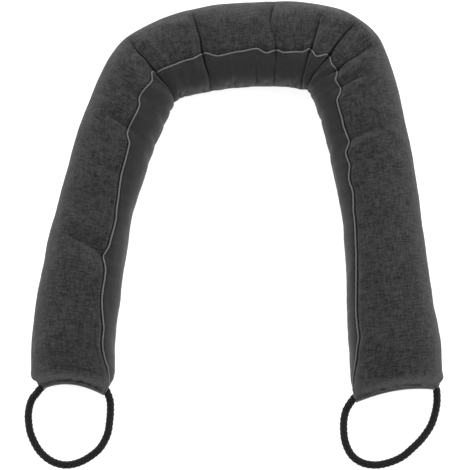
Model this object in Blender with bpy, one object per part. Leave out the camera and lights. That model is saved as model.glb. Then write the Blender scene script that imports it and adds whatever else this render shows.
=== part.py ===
"""Draught excluder: a long stuffed roll of two sewn panels with piping, bent into a U.

The roll lies on a level surface with its open side towards -Y. It is flat where it
rests. Twisting as it bends, it shows its face panel on the outside of the bend and
its back panel on the inside. A rope loop is caught in the seam at each end.

All sizes below are millimetres and degrees, and the meshes are in metres.
"""
import math

import bmesh
import bpy
import numpy as np
from mathutils import Vector

OBJECT_NAME = "draught_excluder"
MM = 0.001

# The footprint's middle in the drawing's own plan, which becomes the origin.
PLAN_CENTRE_X = -0.32
PLAN_CENTRE_Y = 3.35

# Cloth, seam and piping
PANEL_THICKNESS = 1.5
GAP = 0.3
PIPING_RADIUS = 1.15
PIPING_SIDES = 6
PIPING_DEPTH = 0.8
PIPING_CLEARANCE = GAP + 0.15
CORNER_CLEARANCE = GAP + 0.4
CORNER_SHARES = (0.35, 0.7)
GROOVE_DEPTH = 3.7
LIP_DEPTH = 1.2
LIP_WIDTH = 2.4
TIP_DEPTH = 2.8
EDGE_INSET = 0.6
PANEL_EDGE = 1.7
SHOULDER_WIDTH = 6.0
PANEL_COLUMNS = 7

# Section of the roll
BODY_POWER = 2.3
END_POWER = 2.6
SINK = 2.0
OUTLINE_STEPS = 240

# Ends: how the roll closes to its end seam
END_LENGTH = 38.0
END_THICKNESS = 9.0
END_MIDDLE_HEIGHT = 27.0
END_DROOP = 18.0
CORNER_LENGTH = 14.0
SEAM_DEPTH_FROM = 3.0
SEAM_DEPTH_TO = 24.0
END_RINGS = (0.0, 0.9, 2.6, 5.5, 10.0, 16.0, 23.5, 31.0)

# Spacing of the rings along the roll
RING_STEP = 12.0
CLOSEST_RINGS = 5.0
FILLING_SHARE = 0.45
CREASE_RINGS = (-9.0, -4.0, 0.0, 4.0, 9.0)
SOFT_CREASE = 2.2
CREASE_SOFTNESS = 0.9
WINDOW_FADE = 35.0
HEADING_SPAN = 18.0
SHARP_EDGE = 50.0

# The roll's middle line in plan, from the left end round to the right end.
# seam_turn is how far the upper seam leans from the top towards the inside.
SPINE_COLUMNS = ("x", "y", "half_width", "height", "seam_turn")
SPINE = (
    (-145.4, -165.8, 37.0, 57.0, 90.0),
    (-145.0, -150.0, 37.0, 58.0, 62.0),
    (-143.6, -118.0, 36.5, 58.0, 47.0),
    (-139.5, -84.0, 36.6, 58.0, 39.0),
    (-134.3, -45.0, 35.6, 57.0, 37.0),
    (-125.5, -1.0, 33.9, 56.0, 35.0),
    (-114.5, 41.0, 35.0, 57.0, 27.0),
    (-101.0, 81.0, 35.7, 58.0, 20.0),
    (-80.0, 122.5, 36.5, 58.0, 16.0),
    (-59.0, 134.5, 37.5, 59.0, 22.0),
    (-35.0, 142.3, 39.0, 60.0, 26.0),
    (13.8, 148.0, 39.4, 61.0, 27.0),
    (63.6, 146.5, 40.0, 61.0, 26.0),
    (82.0, 141.5, 40.0, 61.0, 24.0),
    (96.0, 130.0, 39.5, 60.0, 25.0),
    (105.0, 110.5, 38.6, 59.0, 28.0),
    (113.5, 82.0, 37.4, 58.0, 33.0),
    (122.8, 33.0, 36.3, 57.0, 42.0),
    (130.0, -16.0, 35.4, 57.0, 48.0),
    (133.8, -66.0, 36.6, 58.0, 54.0),
    (136.7, -112.0, 38.6, 59.0, 58.0),
    (139.3, -152.0, 39.6, 59.0, 66.0),
    (140.8, -170.9, 40.0, 59.0, 90.0),
)

# The two ends. outward is how far the corners reach past the middle of the end seam,
# and skew how much further the inner corner reaches than the outer one.
END_COLUMNS = ("half_width", "outward", "skew")
LEFT_END = (27.5, 4.3, 1.8)
RIGHT_END = (36.0, 2.6, 2.7)

# How far the upper seam sways from its even line, drawn by the stuffing and the creases:
# place along the roll, and the shift towards the inside of the bend.
SWAY_COLUMNS = ("along", "shift")
SEAM_SWAYS = (
    (0.0, 0.0),
    (12.0, -2.5),
    (28.0, -3.0),
    (48.0, -0.5),
    (76.0, -3.0),
    (98.0, -1.4),
    (112.0, -4.2),
    (124.0, -1.0),
    (147.0, 0.9),
    (160.0, -0.5),
    (184.0, -1.8),
    (219.0, -0.6),
    (228.0, -4.4),
    (256.0, -1.2),
    (263.0, -3.2),
    (284.0, 2.0),
    (292.0, -4.6),
    (304.0, 0.3),
    (336.0, -2.4),
    (351.0, -6.5),
    (364.0, -2.0),
    (384.0, -3.9),
    (400.0, -5.6),
    (409.0, -1.9),
    (419.0, -4.3),
    (426.0, -2.0),
    (443.0, -3.6),
    (451.5, -7.3),
    (462.0, -1.2),
    (473.0, -7.5),
    (484.0, -4.2),
    (496.0, -5.8),
    (504.0, -2.9),
    (516.0, -4.8),
    (526.0, 0.2),
    (548.0, -1.4),
    (567.0, -4.4),
    (577.0, -0.9),
    (588.0, -3.0),
    (600.0, -0.5),
    (613.0, -2.8),
    (632.0, -1.2),
    (650.0, -1.9),
    (680.0, -2.5),
    (718.0, -1.1),
    (745.0, -3.3),
    (757.0, 0.0),
    (770.0, 2.0),
    (783.0, 0.0),
)

# Creases across the roll: place along it, depth, reach to each side, and the stretch
# round the section, where 0 is the inside of the bend, 90 the top and 180 the outside.
CREASE_COLUMNS = ("along", "depth", "reach", "turn_from", "turn_to")
CREASES = (
    (126.0, 1.5, 7.0, 60.0, 150.0),
    (237.0, 2.0, 7.0, 60.0, 150.0),
    (299.0, 6.5, 6.0, 10.0, 150.0),
    (349.0, 3.5, 5.0, 0.0, 165.0),
    (416.0, 2.5, 5.0, 30.0, 170.0),
    (453.0, 3.0, 5.0, 30.0, 150.0),
    (473.0, 7.5, 6.0, 20.0, 165.0),
    (493.0, 2.0, 6.0, 55.0, 150.0),
    (561.0, 2.0, 7.0, 50.0, 135.0),
)

# Rope loops, each a route on the floor from one corner of the end to the other: x, y, z
ROPE_RADIUS = 3.2
ROPE_BUMP = 0.3
ROPE_SIDES = 8
ROPE_STEP = 2.2
LEFT_LOOP = (
    (-177.7, -172.1, 7.4),
    (-180.5, -174.8, 5.5),
    (-182.5, -178.2, 4.2),
    (-184.2, -184.3, 3.6),
    (-184.8, -191.5, 3.6),
    (-184.1, -198.5, 3.6),
    (-182.7, -205.6, 3.6),
    (-179.8, -212.7, 3.6),
    (-175.9, -219.7, 3.6),
    (-169.5, -226.8, 3.6),
    (-160.9, -232.3, 3.6),
    (-150.3, -234.6, 3.6),
    (-139.8, -232.7, 3.6),
    (-129.0, -227.0, 3.6),
    (-120.7, -219.7, 3.6),
    (-116.5, -212.7, 3.6),
    (-113.9, -205.6, 3.6),
    (-112.9, -198.5, 3.6),
    (-112.3, -191.5, 3.6),
    (-111.9, -184.4, 3.8),
    (-111.5, -178.3, 4.8),
    (-111.0, -174.4, 6.6),
)
RIGHT_LOOP = (
    (99.3, -181.8, 6.2),
    (97.9, -184.0, 4.8),
    (96.8, -186.2, 3.9),
    (95.1, -191.9, 3.6),
    (94.3, -198.5, 3.6),
    (94.3, -205.6, 3.6),
    (95.1, -212.7, 3.6),
    (97.3, -219.7, 3.6),
    (101.6, -226.8, 3.6),
    (109.9, -232.5, 3.6),
    (121.3, -234.6, 3.6),
    (134.6, -232.2, 3.6),
    (146.4, -226.8, 3.6),
    (154.8, -219.7, 3.6),
    (162.1, -212.7, 3.6),
    (167.8, -205.6, 3.6),
    (172.1, -198.5, 3.6),
    (174.7, -191.5, 3.6),
    (176.6, -184.3, 3.6),
    (177.4, -178.2, 4.5),
    (177.3, -174.5, 6.4),
)

# Colours as linear red, green and blue, with roughness
FACE_CLOTH = (0.052, 0.052, 0.053, 0.9)
BACK_CLOTH = (0.042, 0.042, 0.044, 0.75)
PIPING_CLOTH = (0.19, 0.19, 0.19, 0.8)
ROPE_YARN = (0.014, 0.014, 0.015, 0.85)


def remove_objects():
    """Empties the scene."""
    for item in list(bpy.data.objects):
        bpy.data.objects.remove(item, do_unlink=True)


def named(columns, row):
    """One row of a table as a dictionary."""
    return dict(zip(columns, row))


def smooth_step(low, high, value):
    """Rises smoothly from 0 at low to 1 at high."""
    part = min(max((value - low) / (high - low), 0.0), 1.0)
    return part * part * (3.0 - 2.0 * part)


class SmoothTable:
    """Values read from a table's rows along one smooth curve through its points."""

    def __init__(self, rows):
        self.values = np.array(rows, dtype=float)
        steps = np.linalg.norm(np.diff(self.values[:, :2], axis=0), axis=1)
        self.along = np.concatenate(([0.0], np.cumsum(steps)))
        self.length = float(self.along[-1])
        self.slopes = np.gradient(self.values, self.along, axis=0)

    def at(self, along):
        """The row of values at a distance along the curve, and its slopes there."""
        place = min(max(along, 0.0), self.length)
        i = int(np.searchsorted(self.along, place, side="right")) - 1
        i = min(max(i, 0), len(self.along) - 2)
        span = self.along[i + 1] - self.along[i]
        t = (place - self.along[i]) / span
        start, end = self.values[i], self.values[i + 1]
        leave, reach = self.slopes[i] * span, self.slopes[i + 1] * span
        value = (
            start * (2 * t**3 - 3 * t**2 + 1)
            + leave * (t**3 - 2 * t**2 + t)
            + end * (3 * t**2 - 2 * t**3)
            + reach * (t**3 - t**2)
        )
        slope = (
            start * (6 * t**2 - 6 * t)
            + leave * (3 * t**2 - 4 * t + 1)
            + end * (6 * t - 6 * t**2)
            + reach * (3 * t**2 - 2 * t)
        ) / span
        return value, slope


def fold_depth(along, turn):
    """How deep the creases draw the cloth in at a place on the roll."""
    depth = 0.0
    for row in CREASES:
        crease = named(CREASE_COLUMNS, row)
        offset = math.hypot(along - crease["along"], CREASE_SOFTNESS) - CREASE_SOFTNESS
        valley = math.exp(-offset / crease["reach"])
        opening = smooth_step(crease["turn_from"], crease["turn_from"] + WINDOW_FADE, turn)
        closing = smooth_step(crease["turn_to"] - WINDOW_FADE, crease["turn_to"], turn)
        depth += crease["depth"] * valley * opening * (1.0 - closing)
    return depth


def seam_sway(along):
    """How far the upper seam is shifted towards the inside at a place on the roll."""
    places, shifts = zip(*SEAM_SWAYS)
    return float(np.interp(along, places, shifts))


class Section:
    """The roll's cross section at one place along it."""

    def __init__(self, spine, along):
        self.along = along
        value, _ = spine.at(along)
        behind = spine.at(along - HEADING_SPAN)[0]
        ahead = spine.at(along + HEADING_SPAN)[0]
        row = named(SPINE_COLUMNS, value)
        left = along < spine.length / 2
        self.end = named(END_COLUMNS, LEFT_END if left else RIGHT_END)
        self.from_end = along if left else spine.length - along
        heading = Vector((ahead[0] - behind[0], ahead[1] - behind[1], 0.0)).normalized()
        self.inward = Vector((heading.y, -heading.x, 0.0))
        self.outward = -heading if left else heading
        self.centre = Vector((row["x"] - PLAN_CENTRE_X, row["y"] - PLAN_CENTRE_Y, 0.0))

        closing = min(self.from_end / END_LENGTH, 1.0)
        round_off = math.sqrt(1.0 - (1.0 - closing) ** 2)
        corner = max(1.0 - self.from_end / CORNER_LENGTH, 0.0) ** 2
        half_end = END_THICKNESS / 2
        self.fade = (1.0 - closing) ** 1.5
        self.half_width = row["half_width"] + corner * (self.end["half_width"] - row["half_width"])
        self.half_height = half_end + (row["height"] / 2 - half_end) * round_off
        body_middle = row["height"] / 2 - SINK
        self.middle = body_middle + (END_MIDDLE_HEIGHT - body_middle) * self.fade
        self.power = END_POWER + (BODY_POWER - END_POWER) * round_off
        self.seam_depth = smooth_step(SEAM_DEPTH_FROM, SEAM_DEPTH_TO, self.from_end)
        radius = (self.half_width + self.half_height) / 2
        self.trace_outline(math.radians(90.0 - row["seam_turn"]) - seam_sway(along) / radius)

    def trace_outline(self, seam):
        """Measures the outline from the upper seam over the top and right round."""
        turns = seam + np.linspace(0.0, 2 * math.pi, OUTLINE_STEPS + 1)
        cosines, sines = np.cos(turns), np.sin(turns)
        across = self.half_width * np.sign(cosines) * np.abs(cosines) ** (2 / self.power)
        up = self.half_height * np.sign(sines) * np.abs(sines) ** (2 / self.power)
        steps = np.hypot(np.diff(across), np.diff(up))
        self.lengths = np.concatenate(([0.0], np.cumsum(steps)))
        self.girth = float(self.lengths[-1])
        slope_across = np.gradient(across, self.lengths)
        slope_up = np.gradient(up, self.lengths)
        slope_across[[0, -1]] = (slope_across[0] + slope_across[-1]) / 2
        slope_up[[0, -1]] = (slope_up[0] + slope_up[-1]) / 2
        size = np.hypot(slope_across, slope_up)
        self.turns = np.degrees(turns)
        self.across, self.up = across, up
        self.normal_across, self.normal_up = slope_up / size, -slope_across / size

    def place(self, round_distance, depth):
        """A point at a distance round the outline from the upper seam, inside the surface."""
        at = round_distance % self.girth
        across = float(np.interp(at, self.lengths, self.across))
        up = float(np.interp(at, self.lengths, self.up))
        normal_across = float(np.interp(at, self.lengths, self.normal_across))
        normal_up = float(np.interp(at, self.lengths, self.normal_up))
        turn = float(np.interp(at, self.lengths, self.turns))
        turn = (turn + 90.0) % 360.0 - 90.0
        inset = depth + fold_depth(self.along, turn)
        across -= normal_across * inset
        up -= normal_up * inset
        side = across / self.half_width
        up -= END_DROOP * self.fade * side * side
        reach = (self.end["outward"] * side * side + self.end["skew"] * side) * self.fade
        height = max(self.middle + up, max(depth, 0.0))
        point = self.centre + self.inward * across + self.outward * reach
        point.z = height
        return point

    def face_stops(self):
        """Distances round the outline of the face panel's columns."""
        half = self.girth / 2
        inner = np.linspace(SHOULDER_WIDTH, half - SHOULDER_WIDTH, PANEL_COLUMNS)
        return [LIP_WIDTH, *inner, half - LIP_WIDTH]

    def back_stops(self):
        """Distances round the outline of the back panel's columns, measured past the lower seam."""
        half = self.girth / 2
        inner = np.linspace(SHOULDER_WIDTH, half - SHOULDER_WIDTH, PANEL_COLUMNS)
        return [half + PANEL_EDGE, *(half + inner), 2 * half - PANEL_EDGE]

    def face_points(self):
        """The roll's own surface under the sky, from the upper seam to the lower one."""
        stops = self.face_stops()
        depths = [0.0] * len(stops)
        depths[0] = depths[-1] = LIP_DEPTH * self.seam_depth
        return [self.place(stop, depth) for stop, depth in zip(stops, depths)]

    def back_points(self, inset, edge_inset=0.0):
        """The back panel's surface or one inside it, from the lower seam to the upper one."""
        stops = self.back_stops()
        depths = [inset] * len(stops)
        depths[0] = depths[-1] = inset + edge_inset + LIP_DEPTH * self.seam_depth
        return [self.place(stop, depth) for stop, depth in zip(stops, depths)]

    def seam_point(self, lower):
        """The bottom of the groove that the piping lies in."""
        at = self.girth / 2 if lower else 0.0
        depth = TIP_DEPTH + (GROOVE_DEPTH - TIP_DEPTH) * self.seam_depth
        return self.place(at, depth)

    def piping_point(self, lower):
        """The piping's centre at a seam, and the direction in which it looks out."""
        at = self.girth / 2 if lower else 0.0
        outside = -(PIPING_RADIUS + PIPING_CLEARANCE)
        depth = outside + (PIPING_DEPTH - outside) * self.seam_depth
        point = self.place(at, depth)
        point.z = max(point.z, PIPING_RADIUS + GAP)
        inside = self.place(at, depth + 1.0)
        return point, (point - inside).normalized()


def ring_stations(length):
    """Places of the rings along the roll, closer together at the ends, creases and sways."""
    fixed = list(END_RINGS) + [length - step for step in END_RINGS]
    for row in CREASES:
        crease = named(CREASE_COLUMNS, row)
        steps = CREASE_RINGS if crease["depth"] > SOFT_CREASE else (0.0,)
        fixed += [crease["along"] + step for step in steps]
    for row in SEAM_SWAYS:
        along = named(SWAY_COLUMNS, row)["along"]
        if min(abs(along - other) for other in fixed) > CLOSEST_RINGS:
            fixed.append(along)
    first, last = END_RINGS[-1], length - END_RINGS[-1]
    count = int((last - first) / RING_STEP)
    stations = sorted(fixed)
    for place in np.linspace(first, last, count + 1)[1:-1]:
        if min(abs(place - other) for other in fixed) > RING_STEP * FILLING_SHARE:
            stations.append(float(place))
    return sorted(stations)


def mesh_object(name, points, faces, collection, parent):
    """An object made from points in millimetres, with its faces turned outward."""
    work = bmesh.new()
    corners = [work.verts.new(point * MM) for point in points]
    for face in faces:
        work.faces.new([corners[i] for i in face])
    bmesh.ops.recalc_face_normals(work, faces=work.faces)
    mesh = bpy.data.meshes.new(name)
    work.to_mesh(mesh)
    work.free()
    mesh.shade_smooth()
    mesh.set_sharp_from_angle(angle=math.radians(SHARP_EDGE))
    item = bpy.data.objects.new(name, mesh)
    collection.objects.link(item)
    item.parent = parent
    return item


def loft_faces(rings, size, closed=False, turned_from=None):
    """Triangles between neighbouring rings of equal size, and round to the first if closed.

    From the column turned_from on, where a ring runs back, the diagonals are turned to
    match those of the surface that the columns run beside.
    """
    faces = []
    for ring in range(rings if closed else rings - 1):
        here, there = ring * size, (ring + 1) % rings * size
        for i in range(size):
            j = (i + 1) % size
            if turned_from is not None and i >= turned_from:
                faces += [(here + i, here + j, there + i), (here + j, there + j, there + i)]
            else:
                faces += [(here + i, here + j, there + j), (here + i, there + j, there + i)]
    return faces


def strip_cap(start, size):
    """Faces that close a ring whose two long sides lie face to face."""
    faces = []
    half = size // 2
    for i in range(half - 1):
        faces.append((start + i, start + i + 1, start + size - 2 - i, start + size - 1 - i))
    return faces


def tip_cap(start, size):
    """Faces that close a ring with a single point at each tip, 0 and half way round."""
    faces = [(start, start + 1, start + size - 1)]
    half = size // 2
    for i in range(1, half - 1):
        faces.append((start + i, start + i + 1, start + size - i - 1, start + size - i))
    faces.append((start + half - 1, start + half, start + half + 1))
    return faces


def filled_roll(sections, collection, parent):
    """The face panel and its stuffing, drawn in under the back panel."""
    points = []
    for section in sections:
        ring = [section.seam_point(False), *section.face_points()]
        ring.append(section.seam_point(True))
        ring += section.back_points(PANEL_THICKNESS + GAP, EDGE_INSET)
        points += ring
        size = len(ring)
    faces = loft_faces(len(sections), size)
    faces += tip_cap(0, size) + tip_cap(size * (len(sections) - 1), size)
    return mesh_object("filled_roll", points, faces, collection, parent)


def back_panel(sections, collection, parent):
    """The sheet of cloth on the inner and under side."""
    points = []
    for section in sections:
        ring = section.back_points(0.0) + section.back_points(PANEL_THICKNESS)[::-1]
        points += ring
        size = len(ring)
    faces = loft_faces(len(sections), size, turned_from=size // 2)
    faces += strip_cap(0, size) + strip_cap(size * (len(sections) - 1), size)
    return mesh_object("back_panel", points, faces, collection, parent)


def end_seam_path(section):
    """The piping's centres and directions along an end seam, inner corner first."""
    reach = PIPING_RADIUS + PIPING_CLEARANCE
    faces = [section.place(stop, 0.0) for stop in section.face_stops()]
    backs = [section.place(section.girth - stop, 0.0) for stop in section.face_stops()]
    path = []
    for face, back in zip(faces, backs):
        path.append(((face + back) / 2 + section.outward * reach, section.outward.copy()))
    return path


def corner_path(section, lower):
    """The piping's turn round a corner from the side seam to the end seam."""
    _, look = section.piping_point(lower)
    tip = section.place(section.girth / 2 if lower else 0.0, 0.0)
    path = []
    for share in CORNER_SHARES:
        turn = share * math.pi / 2
        way = (look * math.cos(turn) + section.outward * math.sin(turn)).normalized()
        path.append((tip + way * (PIPING_RADIUS + CORNER_CLEARANCE), way))
    return path


def piping_route(sections):
    """Centres and outward directions of the piping, right round the roll."""
    first, last = sections[0], sections[-1]
    upper = [section.piping_point(False) for section in sections]
    lower = [section.piping_point(True) for section in sections]
    route = list(upper)
    route += corner_path(last, False)
    route += end_seam_path(last)
    route += corner_path(last, True)[::-1]
    route += lower[::-1]
    route += corner_path(first, True)
    route += end_seam_path(first)[::-1]
    route += corner_path(first, False)[::-1]
    return route


def piping(sections, collection, parent):
    """The thin cord covered in cloth that is caught in the seam all the way round."""
    route = piping_route(sections)
    points = []
    for i, (centre, look) in enumerate(route):
        before, after = route[i - 1][0], route[(i + 1) % len(route)][0]
        heading = ((centre - before).normalized() + (after - centre).normalized()).normalized()
        out = (look - heading * look.dot(heading)).normalized()
        side = heading.cross(out)
        for step in range(PIPING_SIDES):
            turn = 2 * math.pi * (step + 0.5) / PIPING_SIDES
            points.append(centre + (out * math.cos(turn) + side * math.sin(turn)) * PIPING_RADIUS)
    faces = loft_faces(len(route), PIPING_SIDES, closed=True)
    return mesh_object("piping", points, faces, collection, parent)


def rope_loop(name, rows, collection, parent):
    """A braided rope whose strands stand up in turn all along it."""
    table = SmoothTable([(x - PLAN_CENTRE_X, y - PLAN_CENTRE_Y, z) for x, y, z in rows])
    rings = int(table.length / ROPE_STEP)
    points = []
    for ring in range(rings + 1):
        value, slope = table.at(table.length * ring / rings)
        heading = Vector(slope).normalized()
        side = heading.cross(Vector((0.0, 0.0, 1.0))).normalized()
        top = side.cross(heading)
        for step in range(ROPE_SIDES):
            turn = 2 * math.pi * (step + 0.5) / ROPE_SIDES
            bump = ROPE_BUMP if (ring + step) % 2 else -ROPE_BUMP
            out = side * math.cos(turn) + top * math.sin(turn)
            points.append(Vector(value) + out * (ROPE_RADIUS + bump))
    faces = loft_faces(rings + 1, ROPE_SIDES)
    faces.append(tuple(range(ROPE_SIDES)))
    faces.append(tuple(range(rings * ROPE_SIDES, (rings + 1) * ROPE_SIDES)))
    return mesh_object(name, points, faces, collection, parent)


def give_material(item, finish):
    """A material of its own for one piece."""
    red, green, blue, roughness = finish
    material = bpy.data.materials.new(item.name)
    material.use_nodes = True
    shader = material.node_tree.nodes["Principled BSDF"]
    shader.inputs["Base Color"].default_value = (red, green, blue, 1.0)
    shader.inputs["Roughness"].default_value = roughness
    shader.inputs["Metallic"].default_value = 0.0
    item.data.materials.append(material)


def build():
    """Makes every piece of the draught excluder."""
    remove_objects()
    collection = bpy.data.collections.new(OBJECT_NAME)
    bpy.context.scene.collection.children.link(collection)
    root = bpy.data.objects.new(OBJECT_NAME, None)
    collection.objects.link(root)
    spine = SmoothTable(SPINE)
    sections = [Section(spine, along) for along in ring_stations(spine.length)]
    give_material(filled_roll(sections, collection, root), FACE_CLOTH)
    give_material(back_panel(sections, collection, root), BACK_CLOTH)
    give_material(piping(sections, collection, root), PIPING_CLOTH)
    give_material(rope_loop("loop_left", LEFT_LOOP, collection, root), ROPE_YARN)
    give_material(rope_loop("loop_right", RIGHT_LOOP, collection, root), ROPE_YARN)


build()
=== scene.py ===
"""The looks of the draught excluder: cloth, piping, rope loops, camera and soft light."""
import math

import bmesh
import bpy
import numpy as np
from mathutils import Matrix, Vector, noise


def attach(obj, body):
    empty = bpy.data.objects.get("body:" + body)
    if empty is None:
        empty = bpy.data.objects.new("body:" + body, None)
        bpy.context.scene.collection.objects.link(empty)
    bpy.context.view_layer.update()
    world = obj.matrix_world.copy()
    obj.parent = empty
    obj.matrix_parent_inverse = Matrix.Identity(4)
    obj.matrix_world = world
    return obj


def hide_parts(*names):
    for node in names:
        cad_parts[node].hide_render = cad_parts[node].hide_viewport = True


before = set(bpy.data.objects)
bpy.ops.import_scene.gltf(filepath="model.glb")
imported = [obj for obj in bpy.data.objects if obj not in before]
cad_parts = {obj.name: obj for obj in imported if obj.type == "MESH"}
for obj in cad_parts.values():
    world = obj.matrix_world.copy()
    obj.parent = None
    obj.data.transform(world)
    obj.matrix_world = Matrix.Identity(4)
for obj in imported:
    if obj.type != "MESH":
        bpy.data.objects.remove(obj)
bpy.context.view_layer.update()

MM = 0.001

# The drawing's own plan, as in the solids: its footprint's middle is the origin.
PLAN_CENTRE = (-0.32, 3.35)

# Camera: high over the open side of the U, at the photograph's angle
IMAGE_SIDE = 470
CAMERA_ELEVATION = 75.0
CAMERA_DISTANCE = 1.6
METRES_PER_PIXEL = 0.0009
AIM_PIXEL = (237.0, 200.0)
AIM_HEIGHT = 0.028

# The surround's brightness from the horizon up to overhead
SKY = (
    (0.0, (1.5, 1.5, 1.5)),
    (0.4, (1.0, 1.0, 1.0)),
    (0.95, (0.7, 0.7, 0.7)),
)

# How much dimmer the surround is on the open side of the U, the soft lamps and the floor
FRONT_DIMMING = 0.7
LAMP_COLUMNS = ("name", "place", "size", "power")
LAMPS = (
    ("left", (-1.3, 0.1, 0.8), (1.0, 1.2), 9.0),
    ("right", (1.3, 0.1, 0.8), (1.0, 1.2), 13.0),
    ("back", (0.0, 1.4, 0.8), (1.6, 0.8), 6.0),
)
FLOOR_SIZE = 12.0
FLOOR_COLOUR = (0.5, 0.5, 0.5, 1.0)
FLOOR_GLOW = 0.84

# Plain-weave cloths: thread pitch in metres, the darkest and the lightest thread, roughness,
# contrast between threads, length of a slub in threads, and strength of the bump
WEAVE_COLUMNS = ("name", "pitch", "dark", "light", "rough", "contrast", "slub_length", "bump")
FACE_CLOTH = (
    "face_linen", 0.00095, (0.002, 0.002, 0.0021), (0.051, 0.051, 0.0522), 0.95, 3.5, 9.0, 0.9,
)
BACK_CLOTH = (
    "back_plain", 0.0009, (0.009, 0.009, 0.0094), (0.031, 0.031, 0.0325), 0.8, 1.3, 6.0, 0.3,
)
PIPING_CLOTH = (
    "piping_plain", 0.0005, (0.10, 0.10, 0.10), (0.18, 0.18, 0.18), 0.8, 0.5, 6.0, 0.3,
)

# All weaves: how far the threads sway from straight lines, how much of the thread below a
# crossing shows beside the one above it, how much lighter the threads along the roll are than
# those across it, the soft clouds of tone, how much painted shade darkens the gaps between the
# threads' round tops, and how far those round tops stand out in the bump
THREAD_SWAY = 0.4
SWAYS_PER_METRE = 140.0
UNDER_SHARE = 0.38
WARP_LIFT = 0.5
CLOUD_CONTRAST = 0.15
CLOUDS_PER_METRE = 45.0
PAINTED_THREAD_GAP_SHADE = 0.35
ROUND_HEIGHT = 0.6
TONE_BASE = 0.3
THREAD_HEIGHT = 0.0005
CLOTH_SHEEN = 0.22

# Rope yarn: the places and colours of the darkest and the lightest fibres in the noise, how
# many fibres there are along and round the rope, and how much they stand out
FIBRE_TONES = (
    (0.3, (0.002, 0.002, 0.002)),
    (0.75, (0.019, 0.019, 0.0193)),
)
FIBRES_PER_METRE = (900.0, 2600.0)
FIBRE_BUMP = 0.6
FIBRE_HEIGHT = 0.0003

# Panels and the groove of the seam between them, in millimetres like all sizes below
PANEL_THICKNESS = 1.5
GAP = 0.3
GROOVE_DEPTH = 3.7
TIP_DEPTH = 0.9
GROOVE_RISE = (3.0, 24.0)
LIP_DEPTH = 1.2
BACK_LIP_DEPTH = 0.5
LIP_FALL = (1.0, 0.45, 0.12)
LIP_WIDTH = 1.8
FACE_EDGE = (3.2, 4.4)
PANEL_EDGE = 1.6
BACK_EDGE = (2.6, 4.2)
EDGE_INSET = 0.6
SHOULDER_WIDTH = 6.0

# Share of an edge's width that is left at the roll's tips, where the groove runs out
TIP_SHARE = 0.45

# The piping: how deep its middle lies in the groove and at the tips, how far it leans from
# the seam towards the back panel, how far it stands out at the ends and the corners, and the
# shares of a corner's turn at which it has a ring
PIPING_RADIUS = 0.69
PIPING_DEPTH = 0.5
TIP_PIPING_DEPTH = -0.15
PIPING_LEAN = 0.45
END_PIPING_REACH = PIPING_RADIUS + 0.15
CORNER_PIPING_REACH = 0.4
CORNER_SHARES = (0.2, 0.35, 0.5, 0.65, 0.8)

# Section of the roll: how square its outline is along the body and at the ends, how far it
# sinks into what it lies on, steps round the outline, and the reach over which it is aimed
BODY_POWER = 2.3
END_POWER = 2.6
SINK = 2.0
OUTLINE_STEPS = 480
HEADING_SPAN = 18.0

# Ends: the stretch that closes, its thickness and height at the tip, how far its corners
# droop, and the stretch over which its corners draw in
END_LENGTH = 38.0
END_THICKNESS = 3.4
END_MIDDLE_HEIGHT = 27.0
END_DROOP = 18.0
CORNER_LENGTH = 17.0

# The roll's middle line in plan, from the left end round to the right end, in millimetres.
# seam_turn is how far the upper seam leans from the top towards the inside, in degrees.
SPINE_COLUMNS = ("x", "y", "half_width", "height", "seam_turn")
SPINE = (
    (-145.4, -165.8, 37.0, 57.0, 90.0),
    (-145.0, -150.0, 37.0, 58.0, 62.0),
    (-143.6, -118.0, 36.5, 58.0, 47.0),
    (-139.5, -84.0, 36.6, 58.0, 39.0),
    (-134.3, -45.0, 35.6, 57.0, 37.0),
    (-125.5, -1.0, 33.9, 56.0, 35.0),
    (-114.5, 41.0, 35.0, 57.0, 27.0),
    (-101.0, 81.0, 35.7, 58.0, 20.0),
    (-80.0, 122.5, 36.5, 58.0, 16.0),
    (-59.0, 134.5, 37.5, 59.0, 22.0),
    (-35.0, 142.3, 39.0, 60.0, 26.0),
    (13.8, 148.0, 39.4, 61.0, 27.0),
    (63.6, 146.5, 40.0, 61.0, 26.0),
    (82.0, 141.5, 40.0, 61.0, 24.0),
    (96.0, 130.0, 39.5, 60.0, 25.0),
    (105.0, 110.5, 38.6, 59.0, 28.0),
    (113.5, 82.0, 37.4, 58.0, 33.0),
    (122.8, 33.0, 36.3, 57.0, 42.0),
    (130.0, -16.0, 35.4, 57.0, 48.0),
    (133.8, -66.0, 36.6, 58.0, 54.0),
    (136.7, -112.0, 38.6, 59.0, 58.0),
    (139.3, -152.0, 39.6, 59.0, 66.0),
    (140.8, -170.9, 40.0, 59.0, 90.0),
)

# The two ends: half width, how far the corners reach out and how unevenly, how deep the
# cloth dips at the end seam, and how far the face panel is pushed out over it
END_COLUMNS = ("half_width", "outward", "skew", "dip", "push")
LEFT_END = (27.5, 4.3, 1.8, 5.6, 0.5)
RIGHT_END = (36.0, 2.6, 2.7, 3.0, 0.3)

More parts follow.
